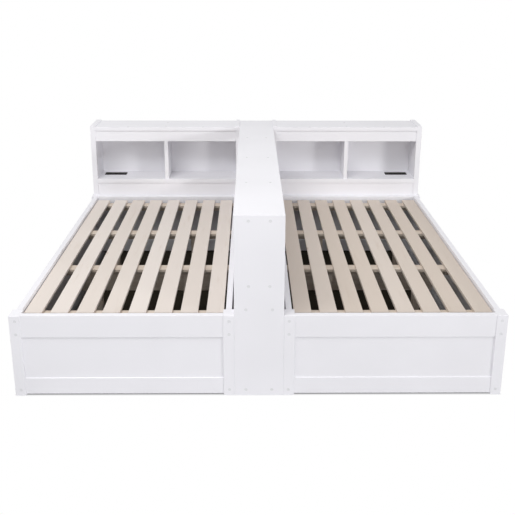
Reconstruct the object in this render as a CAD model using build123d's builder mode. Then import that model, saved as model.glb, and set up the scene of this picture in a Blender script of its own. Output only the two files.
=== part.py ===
from build123d import *
import os

os.makedirs("parts", exist_ok=True)

# Two twin platform beds stand side by side with a tall, narrow storage console between them.
# Each bed has a framed foot, framed sides, eight long slats on cross bearers and a bookcase headboard.
# X runs across the beds, Y from the foot to the headboards and Z up from the floor, in millimetres.

# Overall sizes
bed_width = 1103.0
console_width = 246.0
mattress_space = 1921.0
bed_height = 440.0
headboard_height = 960.0
bookcase_depth = 250.0

# Corner posts
post_width = 54.0
post_depth = 75.0
head_post_depth = 98.0
edge_round = 2.0

# Rails and panels of the base frames
rail_thickness = 30.0
head_rail_thickness = 36.0
foot_rail_setback = 4.0
top_rail_height = 118.0
base_rail_height = 89.0
floor_gap = 8.0
outer_rail_inset = 18.0
inner_rail_inset = 12.0
panel_thickness = 12.0
panel_recess = 5.0
groove_depth = 8.0
tenon_length = 16.0
tenon_thickness = 12.0
tenon_shoulder = 10.0
board_round = 1.5

# Slats and the frames that carry them
slat_count = 8
slat_width = 88.0
slat_thickness = 18.0
slat_outer_gap = 4.0
slat_inner_gap = 11.0
slat_foot_gap = 3.0
slat_head_gap = 25.0
slat_drop = 20.0
bearer_count = 4
bearer_width = 66.0
bearer_thickness = 18.0
bearer_head_gap = 39.0
bearer_housing = 12.0
batten_width = 30.0
batten_height = 25.0
leg_width = 45.0
leg_spread = 520.0
stretcher_height = 110.0
stretcher_thickness = 20.0

# Bookcase headboards
bookcase_setback = 30.0
outer_side_thickness = 36.0
outer_side_inset = 13.0
inner_side_thickness = 27.0
side_lip = 8.0
bookcase_top_thickness = 26.0
fascia_height = 80.0
fascia_thickness = 18.0
fascia_setback = 7.0
divider_thickness = 27.0
shelf_height = 569.0
shelf_thickness = 31.0
housing_depth = 8.0
apron_thickness = 18.0
apron_overlap = 60.0
back_thickness = 9.0
back_inset = 19.0

# Power modules let into the shelves
module_length = 150.0
module_width = 46.0
module_body_depth = 40.0
module_flange = 7.0
module_plate_thickness = 3.0
module_side_gap = 36.0
module_back_gap = 54.0
module_clearance = 0.3
outlet_radius = 17.0
outlet_rise = 1.5
outlet_pitch = 39.0
outlet_offset = 2.0
usb_length = 34.0
usb_width = 22.0
usb_offset = 50.0
blade_width = 2.0
blade_length = 8.0
blade_spread = 13.0
blade_offset = 3.0
earth_radius = 2.4
earth_offset = 8.0
usb_port_length = 12.4
usb_port_width = 4.8
usb_port_pitch = 16.0
usb_tongue_length = 10.0
usb_tongue_width = 1.8
socket_depth = 12.0

# Console
console_panel_thickness = 27.0
console_top_thickness = 18.0
runner_width = 40.0
runner_height = 24.0
runner_spread = 104.0
console_shelf_height = 609.0
console_shelf_thickness = 27.0
partition_count = 3
last_bay_extra = 47.0
partition_thickness = 20.0
partition_inset = 2.0
console_side_thickness = 18.0
rib_thickness = 18.0
cleat_size = 40.0
cleat_bolt_spread = 130.0
upper_cleat_height = 472.0

# Bolts and screw caps
bolt_radius = 4.0
bolt_clearance = 0.2
bolt_head_radius = 8.0
bolt_head_height = 4.5
bolt_recess = 5.0
bolt_grip = 45.0
bolt_key = 5.0
bolt_key_depth = 2.5
outer_bolt_inset = 29.0
inner_bolt_inset = 25.0
upper_bolt_drop = 30.0
lower_bolt_drop = 101.0
base_bolt_height = 31.0
nut_radius = 6.0
nut_length = 16.0
nut_setback = 36.0
cleat_nut_setback = 22.0
cap_radius = 6.5
cap_rise = 1.5
cap_stem_radius = 3.5
cap_stem_length = 6.0
cap_edge_gap = 11.0
cap_side_gap = 240.0
cap_divider_gap = 39.0
cap_divider_pitch = 132.0
cap_spread = 130.0

# Places that follow from those sizes
overall_width = 2 * bed_width + console_width
foot_rail_back = foot_rail_setback + rail_thickness
head_plane = foot_rail_back + mattress_space
bookcase_front = head_plane + bookcase_setback
overall_length = bookcase_front + bookcase_depth
foot_y = -overall_length / 2
head_y = foot_y + head_plane
bookcase_y = foot_y + bookcase_front
rear_y = foot_y + overall_length
console_x = console_width / 2
top_rail_z = bed_height - top_rail_height
base_rail_z = floor_gap + base_rail_height
slat_top = bed_height - slat_drop
bearer_top = slat_top - slat_thickness
bearer_z = bearer_top - bearer_thickness
batten_z = bearer_z - batten_height
inner_width = bed_width - outer_rail_inset - inner_rail_inset - 2 * rail_thickness
back_y = rear_y - back_inset - back_thickness
under_top = headboard_height - bookcase_top_thickness
shelf_z = shelf_height - shelf_thickness
bolt_levels = [bed_height - upper_bolt_drop, bed_height - lower_bolt_drop, base_bolt_height]


def bed_x(side, inward):
    """X of a plane that lies inward millimetres from the outer face of the bed on that side."""
    return side * (overall_width / 2 - inward)


def block(xs, ys, zs, mode=Mode.ADD):
    """Adds or cuts a square-edged block between pairs of limits along X, Y and Z."""
    with BuildSketch(Plane.XY.offset(min(zs))) as outline:
        with Locations((sum(xs) / 2, sum(ys) / 2)):
            Rectangle(abs(xs[1] - xs[0]), abs(ys[1] - ys[0]))
    extrude(outline.sketch, amount=abs(zs[1] - zs[0]), mode=mode)


def board(xs, ys, zs, length_axis, radius=board_round):
    """A plain board whose four long edges are eased."""
    with BuildPart() as plank:
        block(xs, ys, zs)
        fillet(plank.edges().filter_by(length_axis), radius)
    return plank


def bore(points, y, depth, radius, mode=Mode.SUBTRACT):
    """Round bores or pins along Y from the plane y; a positive depth runs towards the headboards."""
    with BuildSketch(Plane.XZ.offset(-y)) as rounds:
        with Locations(*points):
            Circle(radius)
    extrude(rounds.sketch, amount=-depth, mode=mode)


def bolt_bores(points, y, direction, thickness):
    """Counterbored clearance holes through a piece that is thickness deep along Y."""
    bore(points, y, direction * bolt_recess, bolt_head_radius + bolt_clearance)
    bore(points, y, direction * thickness, bolt_radius + bolt_clearance)


def end_bores(points, y, direction):
    """Pilot holes for the bolts in the end of a piece."""
    bore(points, y, direction * (bolt_grip + bolt_clearance), bolt_radius + bolt_clearance)


def save(piece, node):
    """Labels a finished piece and writes its file."""
    piece.part.label = node
    export_step(piece.part, f"parts/{node}.step")


def save_group(pieces, node):
    """Writes several separate solids as one node."""
    export_step(Compound(label=node, children=[piece.part for piece in pieces]), f"parts/{node}.step")


def frame_rail_y(at_foot):
    """Front and back planes of the rails across the foot or the head of a bed."""
    if at_foot:
        return foot_y + foot_rail_setback, foot_y + foot_rail_back
    return head_y, head_y + head_rail_thickness


def frame_panel_y(at_foot):
    """Middle plane of the panel, and of the rails' tenons, across the foot or the head of a bed."""
    return frame_rail_y(at_foot)[0] + panel_recess + panel_thickness / 2


def side_panel_x(side):
    """The two faces of the panel in a bed's outer side frame."""
    outer_face = outer_rail_inset + panel_recess
    return bed_x(side, outer_face), bed_x(side, outer_face + panel_thickness)


def post_bolt_x(side, outer):
    """X of the bolts through an outer or an inner post."""
    return bed_x(side, outer_bolt_inset if outer else bed_width - inner_bolt_inset)


# Corner posts: full-height legs, mortised and grooved for the foot or head frame.
# The side rails are bolted through them end on.
def corner_post(node, side, inward, at_foot):
    y_front = foot_y if at_foot else head_y
    depth = post_depth if at_foot else head_post_depth
    x_mid = bed_x(side, inward + post_width / 2)
    outer = inward == 0
    towards_bed = -side if outer else side
    inner_face = x_mid + towards_bed * post_width / 2
    panel_y = frame_panel_y(at_foot)
    bolt_x = post_bolt_x(side, outer)
    rail_face = y_front + depth if at_foot else y_front
    bolt_face = y_front if at_foot else y_front + depth
    with BuildPart() as post:
        with BuildSketch() as section:
            with Locations((x_mid, y_front + depth / 2)):
                Rectangle(post_width, depth)
        extrude(section.sketch, amount=bed_height)
        fillet(post.edges().filter_by(Axis.Z), edge_round)
        fillet(post.faces().sort_by(Axis.Z)[-1].edges(), edge_round)
        for low, high in ((top_rail_z, bed_height), (floor_gap, base_rail_z)):
            block(
                (inner_face, inner_face - towards_bed * tenon_length),
                (panel_y - tenon_thickness / 2, panel_y + tenon_thickness / 2),
                (low + tenon_shoulder, high - tenon_shoulder),
                Mode.SUBTRACT,
            )
        block(
            (inner_face, inner_face - towards_bed * groove_depth),
            (panel_y - panel_thickness / 2, panel_y + panel_thickness / 2),
            (base_rail_z - groove_depth, top_rail_z + groove_depth),
            Mode.SUBTRACT,
        )
        if outer:
            block(
                side_panel_x(side),
                (rail_face, rail_face + (-groove_depth if at_foot else groove_depth)),
                (base_rail_z - groove_depth, top_rail_z + groove_depth),
                Mode.SUBTRACT,
            )
        bolt_bores([(bolt_x, z) for z in bolt_levels], bolt_face, 1 if at_foot else -1, depth)
    save(post, node)


# Cross rails of the foot and head frames: tenoned into the posts, grooved for the panel between them.
def cross_rail(node, side, at_foot, low, high):
    rail_y = frame_rail_y(at_foot)
    panel_y = frame_panel_y(at_foot)
    x_ends = bed_x(side, post_width), bed_x(side, bed_width - post_width)
    outward = 1 if x_ends[0] > x_ends[1] else -1
    groove_edge = low if high == bed_height else high
    groove_floor = groove_edge + (groove_depth if high == bed_height else -groove_depth)
    with BuildPart() as rail:
        block(x_ends, rail_y, (low, high))
        fillet(rail.edges().filter_by(Axis.X), board_round)
        block(
            x_ends,
            (panel_y - panel_thickness / 2, panel_y + panel_thickness / 2),
            (groove_edge, groove_floor),
            Mode.SUBTRACT,
        )
        block(
            (x_ends[0] + outward * tenon_length, x_ends[0]),
            (panel_y - tenon_thickness / 2, panel_y + tenon_thickness / 2),
            (low + tenon_shoulder, high - tenon_shoulder),
        )
        block(
            (x_ends[1] - outward * tenon_length, x_ends[1]),
            (panel_y - tenon_thickness / 2, panel_y + tenon_thickness / 2),
            (low + tenon_shoulder, high - tenon_shoulder),
        )
    save(rail, node)


# Panels of the foot and head frames, loose in their grooves.
def frame_panel(node, side, at_foot):
    panel_y = frame_panel_y(at_foot)
    with BuildPart() as panel:
        block(
            (bed_x(side, post_width - groove_depth), bed_x(side, bed_width - post_width + groove_depth)),
            (panel_y - panel_thickness / 2, panel_y + panel_thickness / 2),
            (base_rail_z - groove_depth, top_rail_z + groove_depth),
        )
    save(panel, node)


rail_nut_places = foot_y + post_depth + nut_setback, head_y - nut_setback


# Side rails: butted between the posts and bolted through them, with housings for the bearer ends.
def side_rail(side, outer, low, high):
    inset = outer_rail_inset if outer else bed_width - inner_rail_inset - rail_thickness
    x_faces = bed_x(side, inset), bed_x(side, inset + rail_thickness)
    inner_face = x_faces[1] if outer else x_faces[0]
    into_rail = side if outer else -side
    y_ends = foot_y + post_depth, head_y
    bolt_x = post_bolt_x(side, outer)
    nut_bore_length = abs(bolt_x - inner_face) + nut_length / 2
    bolts = [(bolt_x, z) for z in bolt_levels if low < z < high]
    is_top = high == bed_height
    with BuildPart() as rail:
        block(x_faces, y_ends, (low, high))
        fillet(rail.edges().filter_by(Axis.Y), board_round)
        if outer:
            edge = low if is_top else high
            block(
                side_panel_x(side),
                y_ends,
                (edge, edge + (groove_depth if is_top else -groove_depth)),
                Mode.SUBTRACT,
            )
        if is_top:
            for y in bearer_places:
                block(
                    (inner_face, inner_face + into_rail * bearer_housing),
                    (y, y + bearer_width),
                    (bearer_z, bearer_top),
                    Mode.SUBTRACT,
                )
        end_bores(bolts, y_ends[0], 1)
        end_bores(bolts, y_ends[1], -1)
        with BuildSketch(Plane.YZ.offset(inner_face)) as nut_rounds:
            with Locations(*[(y, z) for y in rail_nut_places for _, z in bolts]):
                Circle(nut_radius + bolt_clearance)
        extrude(nut_rounds.sketch, amount=into_rail * nut_bore_length, mode=Mode.SUBTRACT)
    return rail


# Cross bearers: four flat boards housed in the side rails, evenly spaced from foot to head.
first_bearer = foot_y + post_depth
last_bearer = head_y - bearer_head_gap - bearer_width
bearer_step = (last_bearer - first_bearer) / (bearer_count - 1)
bearer_places = [first_bearer + number * bearer_step for number in range(bearer_count)]


def bearer_frames(side):
    """The bearers with a batten under each, and the legs and floor stretchers of the middle ones."""
    outer_face = bed_x(side, outer_rail_inset + rail_thickness)
    inner_face = bed_x(side, outer_rail_inset + rail_thickness + inner_width)
    x_ends = outer_face + side * bearer_housing, inner_face - side * bearer_housing
    x_mid = (outer_face + inner_face) / 2
    pieces = [
        board(x_ends, (y, y + bearer_width), (bearer_z, bearer_top), Axis.X) for y in bearer_places
    ]
    for y in bearer_places:
        batten_y = y + (bearer_width - batten_width) / 2
        behind = batten_y, batten_y + batten_width
        pieces.append(board((outer_face, inner_face), behind, (batten_z, bearer_z), Axis.X))
        if y in (bearer_places[0], bearer_places[-1]):
            continue
        for leg_x in (x_mid - leg_spread / 2, x_mid + leg_spread / 2):
            leg_faces = leg_x - leg_width / 2, leg_x + leg_width / 2
            pieces.append(board(leg_faces, behind, (0, batten_z), Axis.Z))
        ahead = batten_y - stretcher_thickness, batten_y
        pieces.append(board((outer_face, inner_face), ahead, (0, stretcher_height), Axis.X))
    return pieces


# Slats: eight lengthwise boards of bare wood, laid across the bearers just below the rail tops.
def slats(side):
    outer_edge = outer_rail_inset + rail_thickness + slat_outer_gap
    step = (inner_width - slat_outer_gap - slat_inner_gap - slat_width) / (slat_count - 1)
    y_ends = foot_y + post_depth + slat_foot_gap, head_y - slat_head_gap
    pieces = []
    for number in range(slat_count):
        start = outer_edge + number * step
        x_edges = bed_x(side, start), bed_x(side, start + slat_width)
        pieces.append(board(x_edges, y_ends, (bearer_top, slat_top), Axis.Y))
    return pieces


# Bookcase sides: boards that stand on the floor, notched over the head posts, and rise above the top.
# They are housed for the top and the shelf and grooved for the back.
def bookcase_side(node, side, outer):
    start = outer_side_inset if outer else bed_width - inner_side_thickness
    thickness = outer_side_thickness if outer else inner_side_thickness
    x_faces = bed_x(side, start), bed_x(side, start + thickness)
    inner_face = x_faces[1] if outer else x_faces[0]
    into_board = side if outer else -side
    top = headboard_height + side_lip
    with BuildPart() as panel:
        with BuildSketch(Plane.YZ.offset(min(x_faces))) as outline:
            with BuildLine():
                Polyline(
                    (bookcase_y, bed_height),
                    (head_y + head_post_depth, bed_height),
                    (head_y + head_post_depth, 0),
                    (rear_y, 0),
                    (rear_y, top),
                    (bookcase_y, top),
                    close=True,
                )
            make_face()
        extrude(outline.sketch, amount=thickness)
        upper_edges = panel.faces().sort_by(Axis.Z)[-1].edges()
        front_edges = panel.edges().filter_by(Axis.Z).group_by(Axis.Y)[0]
        fillet(upper_edges + front_edges, board_round)
        housing = inner_face, inner_face + into_board * housing_depth
        block(housing, (bookcase_y, rear_y), (under_top, headboard_height), Mode.SUBTRACT)
        block(housing, (bookcase_y, back_y), (shelf_z, shelf_height), Mode.SUBTRACT)
        block(housing, (back_y, back_y + back_thickness), (floor_gap, under_top), Mode.SUBTRACT)
    save(panel, node)


# Clear span of a bookcase between its sides, as distances inward from the outer face of the bed.
span_start = outer_side_inset + outer_side_thickness
span_end = bed_width - inner_side_thickness
divider_middle = (span_start + span_end) / 2
module_start = span_start + module_side_gap
module_middle_y = back_y - module_back_gap - module_width / 2
module_middle = module_start + module_length / 2


# Bookcase tops: boards housed in the sides, screwed down into the divider and the fascia.
def bookcase_top(node, side):
    x_ends = bed_x(side, span_start - housing_depth), bed_x(side, span_end + housing_depth)
    with BuildPart() as top:
        block(x_ends, (bookcase_y, rear_y), (under_top, headboard_height))
        fillet(top.edges().filter_by(Axis.X), board_round)
        stem_holes(bookcase_caps(side))
    save(top, node)


def bookcase_caps(side):
    """Centres of the screw caps on one bookcase top."""
    front = bookcase_y + cap_edge_gap
    over_divider = bookcase_y + cap_divider_gap
    return [
        (bed_x(side, span_start + cap_side_gap), front),
        (bed_x(side, span_end - cap_side_gap), front),
        (bed_x(side, divider_middle), over_divider),
        (bed_x(side, divider_middle), over_divider + cap_divider_pitch),
    ]


def stem_holes(points):
    """Blind holes for the stems of the screw caps in a top board."""
    with BuildSketch(Plane.XY.offset(headboard_height)) as stems:
        with Locations(*points):
            Circle(cap_stem_radius + bolt_clearance)
    extrude(stems.sketch, amount=-cap_stem_length - bolt_clearance, mode=Mode.SUBTRACT)


# Fascias: boards under the front edge of each bookcase top.
def fascia(node, side):
    front = bookcase_y + fascia_setback
    with BuildPart() as strip:
        block(
            (bed_x(side, span_start), bed_x(side, span_end)),
            (front, front + fascia_thickness),
            (under_top - fascia_height, under_top),
        )
        fillet(strip.edges().filter_by(Axis.X).group_by(Axis.Z)[0], board_round)
    save(strip, node)


# Dividers: upright boards in the middle of each bookcase, level with the fascia and notched behind it.
def divider(node, side):
    x_faces = [bed_x(side, divider_middle + half) for half in (-divider_thickness / 2, divider_thickness / 2)]
    front = bookcase_y + fascia_setback
    with BuildPart() as upright:
        block(x_faces, (front, back_y), (shelf_height, under_top))
        fillet(upright.edges().filter_by(Axis.Z).group_by(Axis.Y)[0], board_round)
        block(
            x_faces,
            (front, front + fascia_thickness),
            (under_top - fascia_height, under_top),
            Mode.SUBTRACT,
        )
    save(upright, node)


# Shelves: the floors of the cubbies, with an opening for the power module beside the outer side.
def shelf(node, side):
    with BuildPart() as floor_board:
        block(
            (bed_x(side, span_start - housing_depth), bed_x(side, span_end + housing_depth)),
            (bookcase_y, back_y),
            (shelf_z, shelf_height),
        )
        fillet(floor_board.edges().filter_by(Axis.X).group_by(Axis.Y)[0], board_round)
        half_length = module_length / 2 + module_clearance
        half_width = module_width / 2 + module_clearance
        block(
            (bed_x(side, module_middle - half_length), bed_x(side, module_middle + half_length)),
            (module_middle_y - half_width, module_middle_y + half_width),
            (shelf_z, shelf_height),
            Mode.SUBTRACT,
        )
    save(floor_board, node)


# Aprons: boards under each shelf that close the bookcase behind the head rail.
def apron(node, side):
    front = head_y + head_rail_thickness
    with BuildPart() as lower_board:
        block(
            (bed_x(side, span_start), bed_x(side, span_end)),
            (front, front + apron_thickness),
            (bed_height - apron_overlap, shelf_z),
        )
        block(
            (bed_x(side, 0), bed_x(side, post_width)),
            (front, head_y + head_post_depth),
            (bed_height - apron_overlap, bed_height),
            Mode.SUBTRACT,
        )
        block(
            (bed_x(side, bed_width - post_width), bed_x(side, bed_width)),
            (front, head_y + head_post_depth),
            (bed_height - apron_overlap, bed_height),
            Mode.SUBTRACT,
        )
    save(lower_board, node)


# Backs: thin sheets in the grooves of the bookcase sides, from the floor gap up to the top board.
def bookcase_back(node, side):
    with BuildPart() as sheet:
        block(
            (bed_x(side, span_start - housing_depth), bed_x(side, span_end + housing_depth)),
            (back_y, back_y + back_thickness),
            (floor_gap, under_top),
        )
    save(sheet, node)


def outlet_slots(x, top, depth):
    """Two blade slots and an earth hole, cut downwards from the plane top."""
    with BuildSketch(Plane.XY.offset(top)) as slots:
        with Locations(
            (x - blade_spread / 2, module_middle_y + blade_offset),
            (x + blade_spread / 2, module_middle_y + blade_offset),
        ):
            Rectangle(blade_width, blade_length)
        with Locations((x, module_middle_y - earth_offset)):
            Circle(earth_radius)
    extrude(slots.sketch, amount=-depth, mode=Mode.SUBTRACT)


def charging_ports(x, top, depth):
    """Two charging ports, each with its tongue left standing, cut downwards from the plane top."""
    with BuildSketch(Plane.XY.offset(top)) as ports:
        with Locations((x - usb_port_pitch / 2, module_middle_y), (x + usb_port_pitch / 2, module_middle_y)):
            Rectangle(usb_port_length, usb_port_width)
            Rectangle(usb_tongue_length, usb_tongue_width, mode=Mode.SUBTRACT)
    extrude(ports.sketch, amount=-depth, mode=Mode.SUBTRACT)


# Power modules: a black box through the shelf with a rounded face plate, two round outlets
# and a charging block.
def power_module(node, side):
    x_mid = bed_x(side, module_middle)
    outlet_places = [x_mid + side * offset for offset in (outlet_offset, outlet_offset - outlet_pitch)]
    charger_x = x_mid + side * usb_offset
    insert_top = shelf_height + module_plate_thickness + outlet_rise
    plate_top = shelf_height + module_plate_thickness
    plate_length = module_length + 2 * module_flange
    plate_width = module_width + 2 * module_flange
    with BuildPart() as housing:
        with BuildSketch(Plane.XY.offset(shelf_height)) as face:
            with Locations((x_mid, module_middle_y)):
                RectangleRounded(plate_length, plate_width, module_flange)
        extrude(face.sketch, amount=module_plate_thickness)
        with BuildSketch(Plane.XY.offset(shelf_height)) as body:
            with Locations((x_mid, module_middle_y)):
                Rectangle(module_length, module_width)
        extrude(body.sketch, amount=-module_body_depth)
        for x in outlet_places:
            outlet_slots(x, plate_top, socket_depth)
        charging_ports(charger_x, plate_top, socket_depth)
    pieces = [housing]
    for x in outlet_places:
        with BuildPart() as outlet:
            with BuildSketch(Plane.XY.offset(plate_top)) as disc:
                with Locations((x, module_middle_y)):
                    Circle(outlet_radius)
            extrude(disc.sketch, amount=outlet_rise)
            outlet_slots(x, insert_top, outlet_rise)
        pieces.append(outlet)
    with BuildPart() as charger:
        with BuildSketch(Plane.XY.offset(plate_top)) as face:
            with Locations((charger_x, module_middle_y)):
                Rectangle(usb_length, usb_width)
        extrude(face.sketch, amount=outlet_rise)
        charging_ports(charger_x, insert_top, outlet_rise)
    pieces.append(charger)
    save_group(pieces, node)


for side, name in ((-1, "left"), (1, "right")):
    far_post = bed_width - post_width
    corner_post(f"{name}_foot_post_outer", side, 0, True)
    corner_post(f"{name}_foot_post_inner", side, far_post, True)
    corner_post(f"{name}_head_post_outer", side, 0, False)
    corner_post(f"{name}_head_post_inner", side, far_post, False)
    for end, at_foot in (("foot", True), ("head", False)):
        cross_rail(f"{name}_{end}_top_rail", side, at_foot, top_rail_z, bed_height)
        cross_rail(f"{name}_{end}_base_rail", side, at_foot, floor_gap, base_rail_z)
        frame_panel(f"{name}_{end}_panel", side, at_foot)
    save(side_rail(side, True, top_rail_z, bed_height), f"{name}_outer_side_rail")
    save(side_rail(side, True, floor_gap, base_rail_z), f"{name}_outer_base_rail")
    inner_rails = [side_rail(side, False, top_rail_z, bed_height)]
    inner_rails.append(side_rail(side, False, floor_gap, base_rail_z))
    save_group(inner_rails, f"{name}_inner_side_rails")
    with BuildPart() as side_panel:
        block(
            side_panel_x(side),
            (foot_y + post_depth - groove_depth, head_y + groove_depth),
            (base_rail_z - groove_depth, top_rail_z + groove_depth),
        )
    save(side_panel, f"{name}_outer_side_panel")
    save_group(bearer_frames(side), f"{name}_cross_bearers")
    save_group(slats(side), f"{name}_slats")
    bookcase_side(f"{name}_bookcase_outer_side", side, True)
    bookcase_side(f"{name}_bookcase_inner_side", side, False)
    bookcase_top(f"{name}_bookcase_top", side)
    fascia(f"{name}_bookcase_fascia", side)
    divider(f"{name}_bookcase_divider", side)
    shelf(f"{name}_bookcase_shelf", side)
    apron(f"{name}_bookcase_apron", side)
    bookcase_back(f"{name}_bookcase_back", side)
    power_module(f"{name}_power_module", side)


# Console: end panels, a top on two runners, an open shelf in four cubbies and a closed base.
inside_y = foot_y + console_panel_thickness, rear_y - console_panel_thickness
runner_z = headboard_height - console_top_thickness - runner_height
console_shelf_z = console_shelf_height - console_shelf_thickness
runner_x = runner_spread / 2
cleat_x = cleat_bolt_spread / 2
partition_step = (overall_length - last_bay_extra) / (partition_count + 1)
partition_middles = [foot_y + number * partition_step for number in range(1, partition_count + 1)]
console_bolts = [
    (x, z)
    for half, z in (
        (runner_x, runner_z + runner_height / 2),
        (runner_x, console_shelf_z + console_shelf_thickness / 2),
        (cleat_x, upper_cleat_height),
        (cleat_x, base_bolt_height),
    )
    for x in (-half, half)
]
for end, faces, bolt_face, direction in (
    ("front", (foot_y, inside_y[0]), foot_y, 1),
    ("rear", (inside_y[1], rear_y), rear_y, -1),
):
    with BuildPart() as end_panel:
        block((-console_x, console_x), faces, (0, headboard_height))
        fillet(end_panel.edges().filter_by(Axis.Z), board_round)
        fillet(end_panel.faces().sort_by(Axis.Z)[-1].edges(), board_round)
        bolt_bores(console_bolts, bolt_face, direction, console_panel_thickness)
    save(end_panel, f"console_{end}_panel")

long_nut_places = inside_y[0] + nut_setback, inside_y[1] - nut_setback
console_caps = [(x, y) for y in partition_middles for x in (-cap_spread / 2, cap_spread / 2)]
with BuildPart() as console_top:
    block((-console_x, console_x), inside_y, (headboard_height - console_top_thickness, headboard_height))
    fillet(console_top.edges().filter_by(Axis.Y), board_round)
    stem_holes(console_caps)
save(console_top, "console_top")


def nut_bores(points, bottom, bolt_z):
    """Blind bores for upright barrel nuts, from the underside of a piece to just above the bolt."""
    with BuildSketch(Plane.XY.offset(bottom)) as rounds:
        with Locations(*points):
            Circle(nut_radius + bolt_clearance)
    extrude(rounds.sketch, amount=bolt_z + nut_length / 2 - bottom, mode=Mode.SUBTRACT)


def drilled_board(xs, zs, bolts):
    """A board along the console with bores for bolts and their nuts in both ends."""
    with BuildPart() as plank:
        block(xs, inside_y, zs)
        fillet(plank.edges().filter_by(Axis.Y), board_round)
        end_bores(bolts, inside_y[0], 1)
        end_bores(bolts, inside_y[1], -1)
        nut_bores([(x, y) for x, _ in bolts for y in long_nut_places], zs[0], bolts[0][1])
    return plank


runners = []
for x in (-runner_x, runner_x):
    edges = x - runner_width / 2, x + runner_width / 2
    runner_bolt = [(x, runner_z + runner_height / 2)]
    runners.append(drilled_board(edges, (runner_z, runner_z + runner_height), runner_bolt))
save_group(runners, "console_runners")
shelf_bolts = [(x, console_shelf_z + console_shelf_thickness / 2) for x in (-runner_x, runner_x)]
save(
    drilled_board((-console_x, console_x), (console_shelf_z, console_shelf_height), shelf_bolts),
    "console_shelf",
)

partitions = []
for middle in partition_middles:
    faces = middle - partition_thickness / 2, middle + partition_thickness / 2
    half_width = console_x - partition_inset
    with BuildPart() as partition:
        block((-half_width, half_width), faces, (console_shelf_height, runner_z + runner_height))
        fillet(partition.edges().filter_by(Axis.Z), board_round)
        for x in (-runner_x, runner_x):
            notch = x - runner_width / 2, x + runner_width / 2
            block(notch, faces, (runner_z, runner_z + runner_height), Mode.SUBTRACT)
    partitions.append(partition)
save_group(partitions, "console_partitions")

side_panels = []
for side in (-1, 1):
    faces = side * console_x, side * (console_x - console_side_thickness)
    side_panels.append(board(faces, inside_y, (floor_gap, console_shelf_z), Axis.Y))
save_group(side_panels, "console_side_panels")

base_x = console_x - console_side_thickness
base_pieces = []
for middle in partition_middles:
    faces = middle - rib_thickness / 2, middle + rib_thickness / 2
    base_pieces.append(board((-base_x, base_x), faces, (floor_gap, console_shelf_z), Axis.Z))
for level in (upper_cleat_height, base_bolt_height):
    for face, direction in ((inside_y[0], 1), (inside_y[1], -1)):
        with BuildPart() as cleat:
            levels = max(level - cleat_size / 2, floor_gap), level + cleat_size / 2
            block((-base_x, base_x), (face, face + direction * cleat_size), levels)
            fillet(cleat.edges().filter_by(Axis.X), board_round)
            bore(
                [(-cleat_x, level), (cleat_x, level)],
                face,
                direction * cleat_size,
                bolt_radius + bolt_clearance,
            )
            nut_y = face + direction * cleat_nut_setback
            nut_bores([(-cleat_x, nut_y), (cleat_x, nut_y)], levels[0], level)
        base_pieces.append(cleat)
save_group(base_pieces, "console_base_frame")


# Bolts: socket-head bolts through the posts and the console's end panels, heads just below the faces.
def bolt(x, z, face, direction, length):
    seat = face + direction * bolt_recess
    with BuildPart() as fastener:
        bore([(x, z)], seat, -direction * bolt_head_height, bolt_head_radius, Mode.ADD)
        bore([(x, z)], seat, direction * length, bolt_radius, Mode.ADD)
        head_top = seat - direction * bolt_head_height
        with BuildSketch(Plane.XZ.offset(-head_top)) as key:
            with Locations((x, z)):
                RegularPolygon(bolt_key / 2, 6, major_radius=False)
        extrude(key.sketch, amount=-direction * bolt_key_depth, mode=Mode.SUBTRACT)
    return fastener


# Barrel nuts: short crosswise rods in the rails, runners, shelf and cleats, which the bolts draw up to.
def barrel_nut(x, y, z, upright):
    centre = (x, y) if upright else (y, z)
    plane = Plane.XY.offset(z - nut_length / 2) if upright else Plane.YZ.offset(x - nut_length / 2)
    with BuildPart() as nut:
        with BuildSketch(plane) as rod:
            with Locations(centre):
                Circle(nut_radius)
        extrude(rod.sketch, amount=nut_length)
        bore([(x, z)], y - nut_radius, 2 * nut_radius, bolt_radius + bolt_clearance)
    return nut


fasteners = []
for side in (-1, 1):
    for x in (post_bolt_x(side, True), post_bolt_x(side, False)):
        for z in bolt_levels:
            fasteners.append(bolt(x, z, foot_y, 1, post_depth - bolt_recess + bolt_grip))
            head_bolt_length = head_post_depth - bolt_recess + bolt_grip
            fasteners.append(bolt(x, z, head_y + head_post_depth, -1, head_bolt_length))
            fasteners.extend(barrel_nut(x, y, z, False) for y in rail_nut_places)
for x, z in console_bolts:
    in_cleat = z in (upper_cleat_height, base_bolt_height)
    grip = cleat_size if in_cleat else bolt_grip
    setback = cleat_nut_setback if in_cleat else nut_setback
    for face, inside, direction in ((foot_y, inside_y[0], 1), (rear_y, inside_y[1], -1)):
        fasteners.append(bolt(x, z, face, direction, console_panel_thickness - bolt_recess + grip))
        fasteners.append(barrel_nut(x, inside + direction * setback, z, True))
save_group(fasteners, "bolts_and_barrel_nuts")

# Screw caps: shallow domes on short stems over the screws in the top boards.
caps = []
for x, y in bookcase_caps(-1) + bookcase_caps(1) + console_caps:
    with BuildPart() as cap:
        with BuildSketch(Plane.XY.offset(headboard_height)) as disc:
            with Locations((x, y)):
                Circle(cap_radius)
        extrude(disc.sketch, amount=cap_rise)
        fillet(cap.edges().sort_by(Axis.Z)[-1], cap_rise / 2)
        with BuildSketch(Plane.XY.offset(headboard_height)) as stem:
            with Locations((x, y)):
                Circle(cap_stem_radius)
        extrude(stem.sketch, amount=-cap_stem_length)
    caps.append(cap)
save_group(caps, "screw_caps")
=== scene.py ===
import math

import bpy
from mathutils import Matrix, Vector


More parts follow.
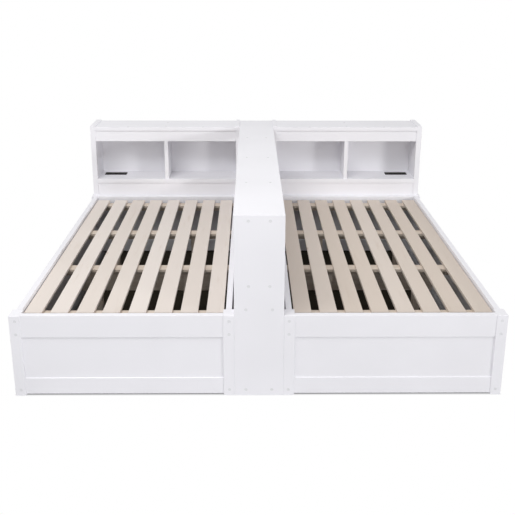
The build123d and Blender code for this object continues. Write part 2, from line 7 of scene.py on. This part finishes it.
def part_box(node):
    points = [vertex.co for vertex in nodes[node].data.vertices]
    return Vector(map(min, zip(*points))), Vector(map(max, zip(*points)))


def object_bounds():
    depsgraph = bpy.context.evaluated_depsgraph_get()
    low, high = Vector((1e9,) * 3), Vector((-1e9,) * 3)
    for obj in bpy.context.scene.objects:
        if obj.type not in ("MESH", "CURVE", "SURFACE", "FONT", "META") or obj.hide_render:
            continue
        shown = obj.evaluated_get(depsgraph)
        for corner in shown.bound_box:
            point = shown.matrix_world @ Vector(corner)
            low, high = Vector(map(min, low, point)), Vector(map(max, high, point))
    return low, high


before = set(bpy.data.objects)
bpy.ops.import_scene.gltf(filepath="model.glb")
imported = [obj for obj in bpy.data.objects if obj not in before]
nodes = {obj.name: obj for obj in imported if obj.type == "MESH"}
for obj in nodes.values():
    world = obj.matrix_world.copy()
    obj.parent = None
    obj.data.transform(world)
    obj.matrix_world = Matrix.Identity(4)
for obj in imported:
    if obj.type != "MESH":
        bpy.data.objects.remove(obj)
cad_low, cad_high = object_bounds()


# The camera stands beyond the foot of the beds, a little left of the middle and high enough to look down
# on the slats. The photograph's verticals are nearly upright, so the lens is shifted down a little.
camera_left = -0.0408
camera_ahead = 3.259
camera_height = 2.0714
camera_pitch = math.radians(16.074)
camera_yaw = math.radians(-0.550)
camera_roll = math.radians(0.149)
lens_mm = 51.18
camera_data = bpy.data.cameras.new("camera")
camera_data.lens = lens_mm
camera_data.sensor_width = 36.0
camera_data.shift_y = -0.1505
camera = bpy.data.objects.new("camera", camera_data)
bpy.context.scene.collection.objects.link(camera)
camera.matrix_world = (
    Matrix.Translation((camera_left, cad_low.y - camera_ahead, camera_height))
    @ Matrix.Rotation(camera_yaw, 4, "Z")
    @ Matrix.Rotation(math.pi / 2 - camera_pitch, 4, "X")
    @ Matrix.Rotation(camera_roll, 4, "Z")
)
bpy.context.scene.camera = camera
bpy.context.scene.view_settings.view_transform = "Standard"


# The node-making method and the shader maths, first needed for the floor.
class Value:
    """A number socket of a shader, with the sums that a material needs written as sums."""

    def __init__(self, maker, socket):
        self.maker = maker
        self.socket = socket

    def math(self, operation, *others):
        links = dict(enumerate((self, *others)))
        return self.maker.node("ShaderNodeMath", links, operation=operation)

    def __add__(self, other):
        return self.math("ADD", other)

    def __radd__(self, other):
        return self.math("ADD", other)

    def __sub__(self, other):
        return self.math("SUBTRACT", other)

    def __rsub__(self, other):
        return self.maker.node("ShaderNodeMath", {0: other, 1: self}, operation="SUBTRACT")

    def __mul__(self, other):
        return self.math("MULTIPLY", other)

    def __rmul__(self, other):
        return self.math("MULTIPLY", other)

    def __truediv__(self, other):
        return self.math("DIVIDE", other)

    def floor(self):
        return self.math("FLOOR")

    def absolute(self):
        return self.math("ABSOLUTE")

    def at_most(self, other):
        return self.math("MINIMUM", other)

    def at_least(self, other):
        return self.math("MAXIMUM", other)

    def smooth(self, low, high):
        """0 below low, 1 above high and a soft rise between them."""
        links = {0: self, 1: low, 2: high, 3: 0.0, 4: 1.0}
        return self.maker.node("ShaderNodeMapRange", links, interpolation_type="SMOOTHSTEP")


class Nodes:
    """The nodes of a material or of the world, all made by one method."""

    def __init__(self, owner, output_kind):
        self.owner = owner
        owner.use_nodes = True
        self.tree = owner.node_tree
        self.tree.nodes.clear()
        self.output = self.tree.nodes.new(output_kind)

    def node(self, kind, links=(), output=0, **settings):
        made = self.tree.nodes.new(kind)
        for name, setting in settings.items():
            setattr(made, name, setting)
        for socket, value in dict(links).items():
            target = made.inputs[socket]
            if isinstance(value, Value):
                self.tree.links.new(value.socket, target)
            elif isinstance(value, (tuple, list)) and len(value) == 3 and target.type == "RGBA":
                target.default_value = (*value, 1.0)
            else:
                target.default_value = value
        return Value(self, made.outputs[output])

    def place(self):
        """Object coordinates as three values."""
        where = self.node("ShaderNodeTexCoord", output="Object")
        return [self.node("ShaderNodeSeparateXYZ", {0: where}, output=axis) for axis in range(3)]

    def point(self, x, y, z):
        return self.node("ShaderNodeCombineXYZ", {0: x, 1: y, 2: z})

    def noise(self, where, scale, detail=2.0, roughness=0.5):
        links = {"Vector": where, "Scale": scale, "Detail": detail, "Roughness": roughness}
        return self.node("ShaderNodeTexNoise", links)

    def blend(self, amount, first, second):
        """Mixes two colours."""
        links = {0: amount, 6: first, 7: second}
        return self.node("ShaderNodeMix", links, output=2, data_type="RGBA")

    def bump(self, height, strength, distance):
        links = {"Height": height, "Strength": strength, "Distance": distance}
        return self.node("ShaderNodeBump", links)

    def surface(self, shader):
        self.tree.links.new(shader.socket, self.output.inputs["Surface"])
        return self.owner

    def principled(self, **sockets):
        links = {name.replace("_", " "): value for name, value in sockets.items()}
        return self.surface(self.node("ShaderNodeBsdfPrincipled", links))


class Material(Nodes):
    """A material by name."""

    def __init__(self, name):
        super().__init__(bpy.data.materials.new(name), "ShaderNodeOutputMaterial")


def dress(name, material):
    """Gives one node its material."""
    node_object = nodes[name]
    node_object.data.materials.clear()
    node_object.data.materials.append(material)


# The floor is one sheet. It is mid grey to the light and is shown as white from 8 mm outside the beds on.
# Well inside the footprint it is painted dark brown, as painted shade standing for the deep shade under
# the beds, and this painted shade is what makes the gaps between the slats dark.
# The object's own shadow shows only in the narrow strip along its edges.
floor_half = 14.0
floor_drop = 0.0005
shadow_reach = 0.008
shadow_start = -0.022
shade_start = -0.04
shade_depth = 0.06
floor_grey = (0.50, 0.50, 0.51)
# The colour below is painted shade: a dark brown laid on the floor under the beds, where there is only
# shade.
under_bed_painted_shade = (0.060, 0.052, 0.040)
bpy.ops.object.select_all(action="DESELECT")
bpy.ops.mesh.primitive_plane_add(size=2 * floor_half, location=(0.0, 0.0, -floor_drop))
floor = bpy.context.object
floor.name = "floor"
floor_paint = Material("floor_with_painted_shade_under_beds")
floor_x, floor_y = floor_paint.place()[:2]
beyond_side = floor_x.absolute() - cad_high.x
beyond_end = floor_y.absolute() - cad_high.y
beyond = beyond_side.at_least(beyond_end)
clear_of_beds = beyond.smooth(shadow_start, shadow_reach)
light_path = floor_paint.node("ShaderNodeLightPath", output="Is Camera Ray")
glossy_path = floor_paint.node("ShaderNodeLightPath", output="Is Glossy Ray")
clear_path = floor_paint.node("ShaderNodeLightPath", output="Is Transmission Ray")
seen = light_path.at_least(glossy_path).at_least(clear_path)
# Painted shade mask: 1 well inside the footprint, where the floor takes the painted dark brown in place of
# shade.
painted_shade_under_beds = 1.0 - beyond.smooth(shade_start - shade_depth, shade_start)
floor_colour = floor_paint.blend(painted_shade_under_beds, floor_grey, under_bed_painted_shade)
matt_floor = floor_paint.node("ShaderNodeBsdfDiffuse", {"Color": floor_colour})
white_floor = floor_paint.node("ShaderNodeEmission", {"Color": (1.0, 1.0, 1.0), "Strength": 1.0})
floor_mix = floor_paint.node(
    "ShaderNodeMixShader", {0: seen * clear_of_beds, 1: matt_floor, 2: white_floor}
)
floor.data.materials.append(floor_paint.surface(floor_mix))

# The room is an even white, seen as white and lighting the beds at a plain level.
room_strength = 0.52
world = bpy.data.worlds.new("white_room")
bpy.context.scene.world = world
room = Nodes(world, "ShaderNodeOutputWorld")
room_white = (1.0, 1.0, 1.0)
room_light = room.node("ShaderNodeBackground", {"Color": room_white, "Strength": room_strength})
room_seen = room.node("ShaderNodeBackground", {"Color": room_white, "Strength": 1.0})
camera_path = room.node("ShaderNodeLightPath", output="Is Camera Ray")
mirror_path = room.node("ShaderNodeLightPath", output="Is Glossy Ray")
room_links = {0: camera_path.at_least(mirror_path), 1: room_light, 2: room_seen}
room.surface(room.node("ShaderNodeMixShader", room_links))


# Soft lamps: one panel overhead, a wide one well beyond the foot and a smaller one off to the right, which
# draws the thin shadows beside the posts.
def soft_panel(name, place, target, width, height, watts):
    lamp_data = bpy.data.lights.new(name, "AREA")
    lamp_data.shape = "RECTANGLE"
    lamp_data.size = width
    lamp_data.size_y = height
    lamp_data.energy = watts
    lamp = bpy.data.objects.new(name, lamp_data)
    bpy.context.scene.collection.objects.link(lamp)
    aim = (Vector(target) - Vector(place)).to_track_quat("-Z", "Y")
    lamp.matrix_world = Matrix.Translation(place) @ aim.to_matrix().to_4x4()


soft_panel("overhead_panel", (-1.8, -2.8, 5.2), (-0.4, 0.7, 0.7), 4.0, 2.4, 182.0)
soft_panel("front_panel", (1.0, -9.0, 1.6), (0.0, 0.9, 0.8), 5.0, 1.6, 62.0)
soft_panel("right_panel", (8.2, -7.0, 2.4), (0.0, -0.8, 0.4), 1.8, 0.8, 300.0)


# White paint covers every board of the frames, the bookcases and the console. It is a satin lacquer on
# planed wood, sprayed evenly, so the wood's long grain shows only as a faint ripple along each board.
paint_colour = (0.846, 0.839, 0.874)
paint_shade = (0.816, 0.809, 0.842)
grain_stretch = 14.0
grain_scale = 55.0
ripple_depth = 0.0004


def painted_wood(direction):
    """White paint whose ripple runs along the board: along_x, along_y or along_z."""
    paint = Material("white_paint_" + direction)
    along = "xyz".index(direction[-1])
    spans = paint.place()
    spans[along] = spans[along] / grain_stretch
    stretched = paint.point(*spans)
    ripple = paint.noise(stretched, grain_scale, 4.0, 0.55)
    clouds = paint.noise(paint.point(*paint.place()), 2.2, 2.0, 0.5)
    orange_peel = paint.noise(paint.point(*paint.place()), 420.0, 1.0, 0.4)
    colour = paint.blend(clouds.smooth(0.35, 0.75), paint_colour, paint_shade)
    roughness = 0.40 + 0.10 * ripple
    normal = paint.bump(ripple * 0.8 + orange_peel * 0.2, 0.35, ripple_depth)
    return paint.principled(Base_Color=colour, Roughness=roughness, Normal=normal, IOR=1.48)


paint_along = {axis: painted_wood("along_" + axis) for axis in "xyz"}
painted_pieces = {
    "x": ("foot_top_rail", "foot_base_rail", "foot_panel", "head_top_rail", "head_base_rail", "head_panel",
          "bookcase_top", "bookcase_fascia", "bookcase_shelf", "bookcase_apron", "bookcase_back"),
    "y": ("outer_side_rail", "outer_base_rail", "outer_side_panel", "inner_side_rails"),
    "z": ("foot_post_outer", "foot_post_inner", "head_post_outer", "head_post_inner",
          "bookcase_outer_side", "bookcase_inner_side", "bookcase_divider"),
}
for axis, pieces in painted_pieces.items():
    for piece in pieces:
        for hand in ("left", "right"):
            dress(f"{hand}_{piece}", paint_along[axis])
for piece in ("console_top", "console_runners", "console_shelf", "console_side_panels"):
    dress(piece, paint_along["y"])
for piece in ("console_front_panel", "console_rear_panel", "console_partitions", "console_base_frame"):
    dress(piece, paint_along["z"])


# Slats are eight planed, unfinished softwood boards on each bed, laid loose on the bearers.
# Each board has its own tone, long grain and a few small knots.
slat_pale = (0.770, 0.705, 0.655)
slat_warm = (0.635, 0.550, 0.475)
slat_line = (0.540, 0.430, 0.340)
knot_colour = (0.330, 0.210, 0.130)


def bare_slats(hand, slat_pitch, first_edge, warmth):
    wood = Material(f"{hand}_slat_wood")
    x, y, z = wood.place()
    board = ((x - first_edge) / slat_pitch).floor()
    shuffle = wood.node("ShaderNodeTexWhiteNoise", {"W": board}, noise_dimensions="1D")
    drift = shuffle * 7.0
    grain_point = wood.point(x * 1.0 + drift, y / 18.0 + drift, z)
    fine = wood.noise(grain_point, 210.0, 5.0, 0.62)
    broad = wood.noise(wood.point(x + drift, y / 9.0 + drift, z), 26.0, 3.0, 0.55)
    bands = (broad * 9.0).math("SINE") * 0.5 + 0.5
    figure = (bands * 0.5 + fine * 0.5).smooth(0.35, 0.80)
    tone = (shuffle * 0.35 + warmth).at_most(1.0)
    ground = wood.blend(tone, slat_pale, slat_warm)
    grained = wood.blend(figure * 0.28, ground, slat_line)
    knots = wood.node(
        "ShaderNodeTexVoronoi",
        {"Vector": wood.point(x * 6.0 + drift, y * 1.5 + drift, 0.0), "Scale": 1.0},
        output="Distance",
    )
    knot = 1.0 - knots.smooth(0.020, 0.055)
    colour = wood.blend(knot * 0.6, grained, knot_colour)
    normal = wood.bump(fine, 0.30, 0.0004)
    return wood.principled(Base_Color=colour, Roughness=0.55 + 0.15 * fine, Normal=normal, IOR=1.45)


slat_count = 8
slat_width = 0.088
for hand, warmth in (("left", 0.0), ("right", 0.65)):
    low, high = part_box(f"{hand}_slats")
    slat_pitch = (high.x - low.x - slat_width) / (slat_count - 1)
    gap_middle = low.x - (slat_pitch - slat_width) / 2
    dress(f"{hand}_slats", bare_slats(hand, slat_pitch, gap_middle, warmth))


# Cross bearers, battens, legs and floor stretchers are rougher sawn softwood, darker than the slats.
bearer_pale = (0.700, 0.620, 0.540)
bearer_dark = (0.560, 0.470, 0.390)


def bare_bearers():
    wood = Material("bearer_wood")
    x, y, z = wood.place()
    fine = wood.noise(wood.point(x / 14.0, y, z), 160.0, 5.0, 0.6)
    broad = wood.noise(wood.point(x / 7.0, y, z), 22.0, 3.0, 0.5)
    colour = wood.blend((fine * 0.6 + broad * 0.6).smooth(0.4, 0.8), bearer_pale, bearer_dark)
    normal = wood.bump(fine, 0.4, 0.0005)
    return wood.principled(Base_Color=colour, Roughness=0.70 + 0.15 * fine, Normal=normal)


bearer_wood = bare_bearers()
for hand in ("left", "right"):
    dress(f"{hand}_cross_bearers", bearer_wood)


# Power modules are black moulded plastic, dropped through the shelves, with a fine spark-eroded face.
def module_plastic():
    plastic = Material("black_plastic")
    where = plastic.point(*plastic.place())
    texture = plastic.noise(where, 1800.0, 2.0, 0.6)
    colour = plastic.blend(texture, (0.012, 0.011, 0.010), (0.024, 0.022, 0.019))
    normal = plastic.bump(texture, 0.25, 0.0001)
    return plastic.principled(
        Base_Color=colour,
        Roughness=0.55 + 0.16 * texture,
        Normal=normal,
        Specular_IOR_Level=0.12,
    )


black_plastic = module_plastic()
for hand in ("left", "right"):
    dress(f"{hand}_power_module", black_plastic)


# Bolts and barrel nuts are bright zinc-plated steel, drawn down below the faces of the posts.
def zinc_plate():
    zinc = Material("bright_zinc")
    where = zinc.point(*zinc.place())
    mottle = zinc.noise(where, 900.0, 3.0, 0.6)
    colour = zinc.blend(mottle, (0.80, 0.80, 0.82), (0.68, 0.68, 0.70))
    return zinc.principled(Base_Color=colour, Metallic=0.65, Roughness=0.34 + 0.15 * mottle)


dress("bolts_and_barrel_nuts", zinc_plate())


# Screw caps are small off-white plastic domes pushed over the screws in the top boards.
def cap_plastic():
    cap = Material("cap_plastic")
    where = cap.point(*cap.place())
    mottle = cap.noise(where, 700.0, 2.0, 0.5)
    colour = cap.blend(mottle, (0.70, 0.70, 0.71), (0.62, 0.62, 0.63))
    return cap.principled(Base_Color=colour, Roughness=0.45 + 0.1 * mottle)


dress("screw_caps", cap_plastic())
